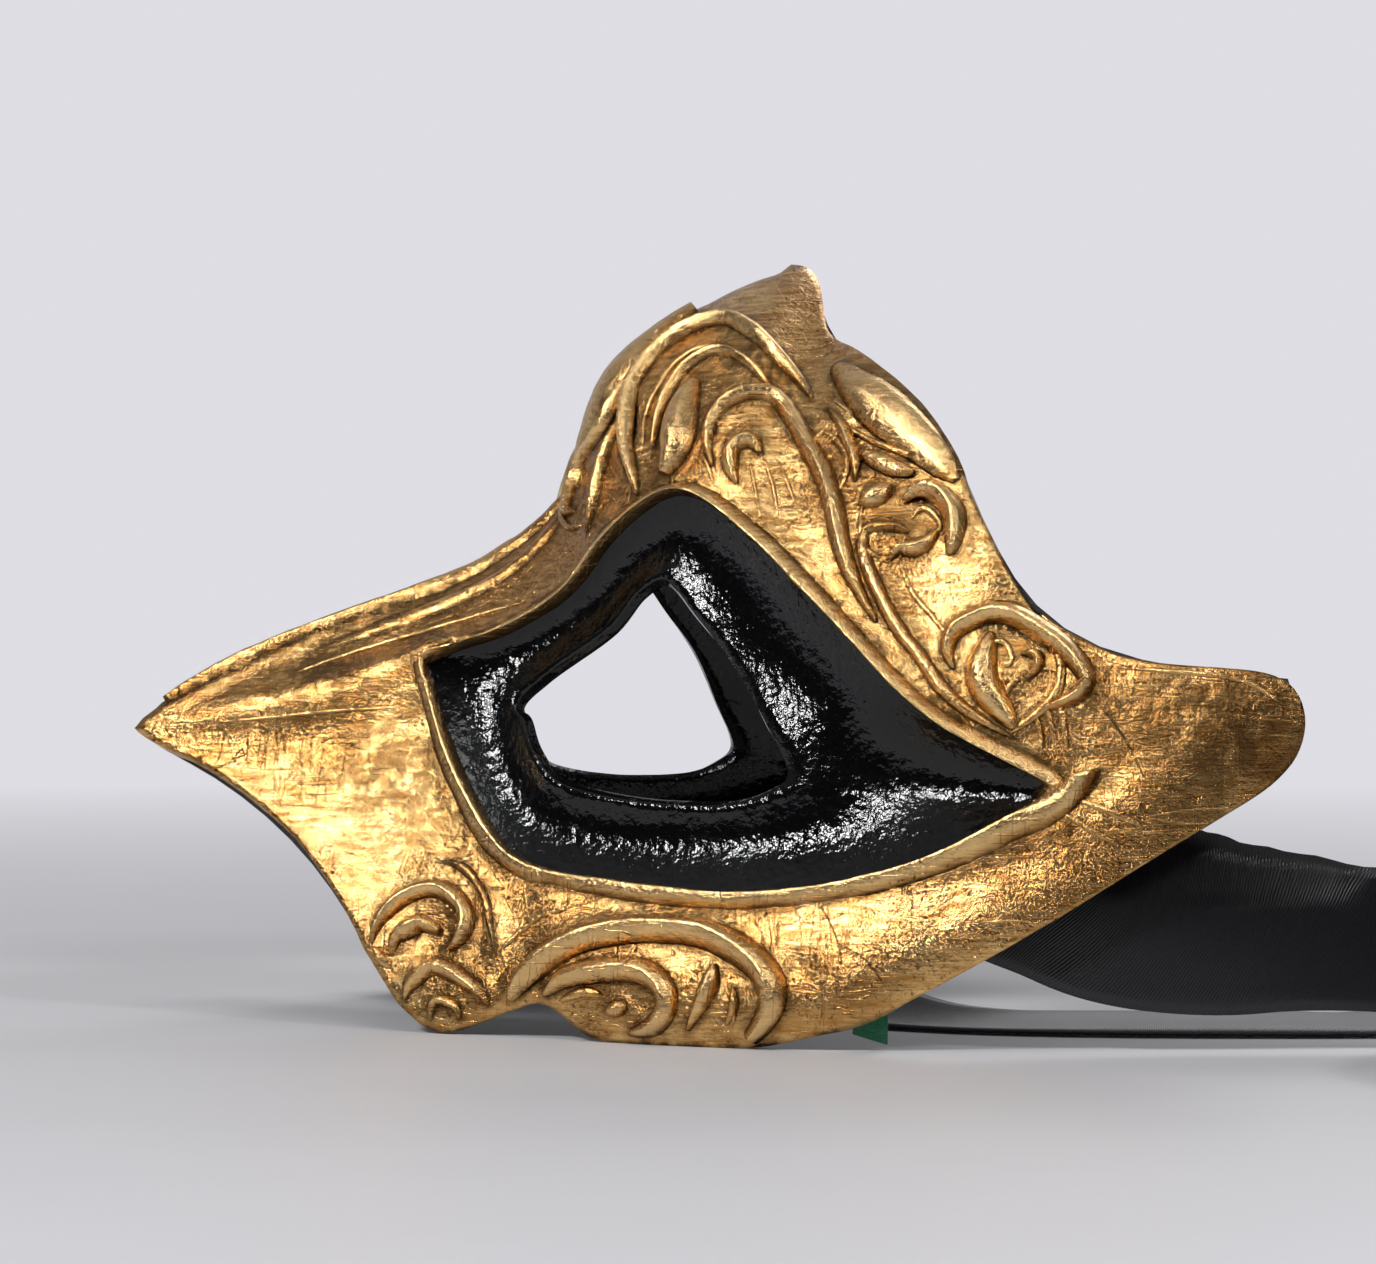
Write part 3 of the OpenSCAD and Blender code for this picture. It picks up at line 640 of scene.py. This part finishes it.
def lacquer():
    """Black lacquer with a pebbled surface, brush marks and a few pale chips."""
    mat, tree, bsdf = nodes_of("lacquer")
    pebble = noise_of(tree, 650, 3, 0.5)
    brush = noise_of(tree, 300, 4, 0.6, (1, 3, 0.5), (30, 0, 0))
    chips = ramp(tree, noise_of(tree, 1800, 2), [(0.74, 0.0), (0.78, 1.0)])
    tree.links.new(mix_of(tree, chips, LACQUER_BLACK, LACQUER_CHIP), bsdf.inputs["Base Color"])
    gloss = ramp(tree, noise_of(tree, 90, 3), [(0.35, 0.07), (0.7, 0.16)])
    tree.links.new(gloss, bsdf.inputs["Roughness"])
    bsdf.inputs["Specular IOR Level"].default_value = 0.42
    relief = bump_of(tree, brush, 0.13, 0.0008)
    tree.links.new(bump_of(tree, pebble, 0.45, 0.0006, relief), bsdf.inputs["Normal"])
    return mat


def felt(name, colour):
    """Felt whose matted fibres darken and lighten the given colour."""
    mat, tree, bsdf = nodes_of(name)
    fuzz = noise_of(tree, 1500, 6, 0.7)
    felted = noise_of(tree, 250, 5, 0.7)
    shade = math_of(tree, "MULTIPLY", ramp(tree, fuzz, [(0.3, 0.35), (0.7, 1.0)]),
                    ramp(tree, felted, [(0.3, 0.7), (0.7, 1.0)]))
    low = [c * 0.4 for c in colour]
    high = [c * 1.5 for c in colour]
    tree.links.new(mix_of(tree, shade, low, high), bsdf.inputs["Base Color"])
    bsdf.inputs["Roughness"].default_value = 0.95
    bsdf.inputs["Sheen Weight"].default_value = 0.2
    tree.links.new(bump_of(tree, fuzz, 0.8, 0.0008), bsdf.inputs["Normal"])
    return mat


def satin():
    """Satin with a slanting twill and threads along it, laid out in the ribbon's millimetres."""
    mat, tree, bsdf = nodes_of("satin")
    uv = add(tree, "ShaderNodeUVMap", uv_map="weave")
    mapping = add(tree, "ShaderNodeMapping")
    mapping.inputs["Rotation"].default_value = (0, 0, math.radians(28))
    tree.links.new(uv.outputs["UV"], mapping.inputs["Vector"])
    twill = add(tree, "ShaderNodeTexWave", Scale=0.8, Distortion=0.8, Detail=2.0)
    tree.links.new(mapping.outputs["Vector"], twill.inputs["Vector"])
    threads = add(tree, "ShaderNodeTexWave", Scale=1.3, Distortion=0.4)
    tree.links.new(uv.outputs["UV"], threads.inputs["Vector"])
    weave = math_of(tree, "ADD", math_of(tree, "MULTIPLY", twill.outputs["Fac"], 0.7),
                    math_of(tree, "MULTIPLY", threads.outputs["Fac"], 0.3))
    tree.links.new(mix_of(tree, weave, SATIN_LOW, SATIN_HIGH), bsdf.inputs["Base Color"])
    bsdf.inputs["Roughness"].default_value = 0.33
    bsdf.inputs["Specular IOR Level"].default_value = 0.6
    bsdf.inputs["Sheen Weight"].default_value = 0.03
    bsdf.inputs["Anisotropic"].default_value = 0.5
    tree.links.new(bump_of(tree, weave, 0.5, 0.0002), bsdf.inputs["Normal"])
    return mat


def dress(obj, material):
    obj.data.materials.clear()
    obj.data.materials.append(material)


GOLD = gold_leaf()
LACQUER = lacquer()
FELT = felt("lining_felt", FELT_BLACK)
GREEN = felt("green_felt", FELT_GREEN)
SATIN = satin()
for n, obj in pieces.items():
    if n == "green_tag":
        dress(obj, GREEN)
    elif n == "lining" or "patch" in n:
        dress(obj, FELT)
    elif "eye_panel" in n:
        dress(obj, LACQUER)
    else:
        dress(obj, GOLD)
for obj in (left_satin, right_satin):
    dress(obj, SATIN)


# ---------------------------------------------------------------- floor and light
ROOM = (0.735, 0.725, 0.770)
FLOOR_SIZE = 6
# The floor's two greys, and the distances over which it fades into the room
FLOOR_GREYS = ((0.62, 0.62, 0.64), (0.66, 0.66, 0.68))
FADE = (0.16, 0.75)
# The room as a light: its walls on the camera's side, its walls beyond the mask, and its ceiling
WALL_DIM = (0.012, 0.010, 0.009)
WALL_LIT = (0.40, 0.40, 0.43)
CEILING = (0.36, 0.35, 0.36)
# Each lamp as (name, place, size, watts, what it points at)
MASK = (0, 0, 0.05)
LAMPS = [
    ("key", (0.47, -0.57, 0.64), (0.17, 0.15), 4.8, MASK),
    ("right_flash", (0.62, 0.48, 0.60), (0.12, 0.12), 1.6, MASK),
    ("behind", (-0.70, 0.40, 0.60), (0.4, 0.4), 1.5, MASK),
    ("over_table", (0.45, -0.10, 1.10), (0.3, 0.3), 1.2, (0.2, 0, 0))]


def make_floor():
    """A pale floor that fades into the colour of the room with its distance from the mask."""
    bm = bmesh.new()
    bmesh.ops.create_grid(bm, x_segments=1, y_segments=1, size=FLOOR_SIZE)
    mesh = bpy.data.meshes.new("floor")
    bm.to_mesh(mesh)
    bm.free()
    floor = new_object("floor", mesh, smooth=False)
    mat, tree, bsdf = nodes_of("table")
    bsdf.inputs["Roughness"].default_value = 0.5
    tree.links.new(mix_of(tree, noise_of(tree, 30), *FLOOR_GREYS), bsdf.inputs["Base Color"])
    place = tree.nodes.new("ShaderNodeTexCoord").outputs["Object"]
    length = add(tree, "ShaderNodeVectorMath", operation="LENGTH")
    tree.links.new(place, length.inputs[0])
    far = ramp(tree, length.outputs["Value"], [(FADE[0], 0.0), (FADE[1], 1.0)])
    glow = add(tree, "ShaderNodeEmission")
    glow.inputs["Color"].default_value = ROOM + (1,)
    mixed = tree.nodes.new("ShaderNodeMixShader")
    tree.links.new(far, mixed.inputs[0])
    tree.links.new(bsdf.outputs[0], mixed.inputs[1])
    tree.links.new(glow.outputs[0], mixed.inputs[2])
    tree.links.new(mixed.outputs[0], tree.nodes["Material Output"].inputs["Surface"])
    mesh.materials.append(mat)


def make_room():
    """The room as the camera sees it is plain and pale. As a light it is dimmer behind the camera."""
    world = bpy.data.worlds.new("room")
    bpy.context.scene.world = world
    world.use_nodes = True
    tree = world.node_tree
    seen = tree.nodes["Background"]
    seen.inputs["Color"].default_value = ROOM + (1,)
    lit = tree.nodes.new("ShaderNodeBackground")
    axes = tree.nodes.new("ShaderNodeSeparateXYZ")
    tree.links.new(tree.nodes.new("ShaderNodeTexCoord").outputs["Generated"], axes.inputs[0])
    up = ramp(tree, axes.outputs["Z"], [(0.55, 0.0), (0.95, 1.0)])
    away = math_of(tree, "SUBTRACT", 0.5, math_of(tree, "MULTIPLY", axes.outputs["X"], 0.5))
    side = ramp(tree, away, [(0.45, 0.0), (0.9, 1.0)])
    walls = mix_of(tree, side, WALL_DIM, WALL_LIT)
    tree.links.new(mix_of(tree, up, walls, CEILING), lit.inputs["Color"])
    path = tree.nodes.new("ShaderNodeLightPath")
    mixed = tree.nodes.new("ShaderNodeMixShader")
    tree.links.new(path.outputs["Is Camera Ray"], mixed.inputs[0])
    tree.links.new(lit.outputs[0], mixed.inputs[1])
    tree.links.new(seen.outputs[0], mixed.inputs[2])
    tree.links.new(mixed.outputs[0], tree.nodes["World Output"].inputs["Surface"])


def area_light(name, place, size, power, aim):
    data = bpy.data.lights.new(name, "AREA")
    data.shape = "RECTANGLE"
    data.size, data.size_y = size
    data.energy = power
    light = bpy.data.objects.new(name, data)
    light.location = place
    light.rotation_euler = (Vector(aim) - Vector(place)).to_track_quat("-Z", "Y").to_euler()
    bpy.context.scene.collection.objects.link(light)


make_floor()
make_room()
for lamp in LAMPS:
    area_light(*lamp)
bpy.context.scene.view_settings.view_transform = "Standard"
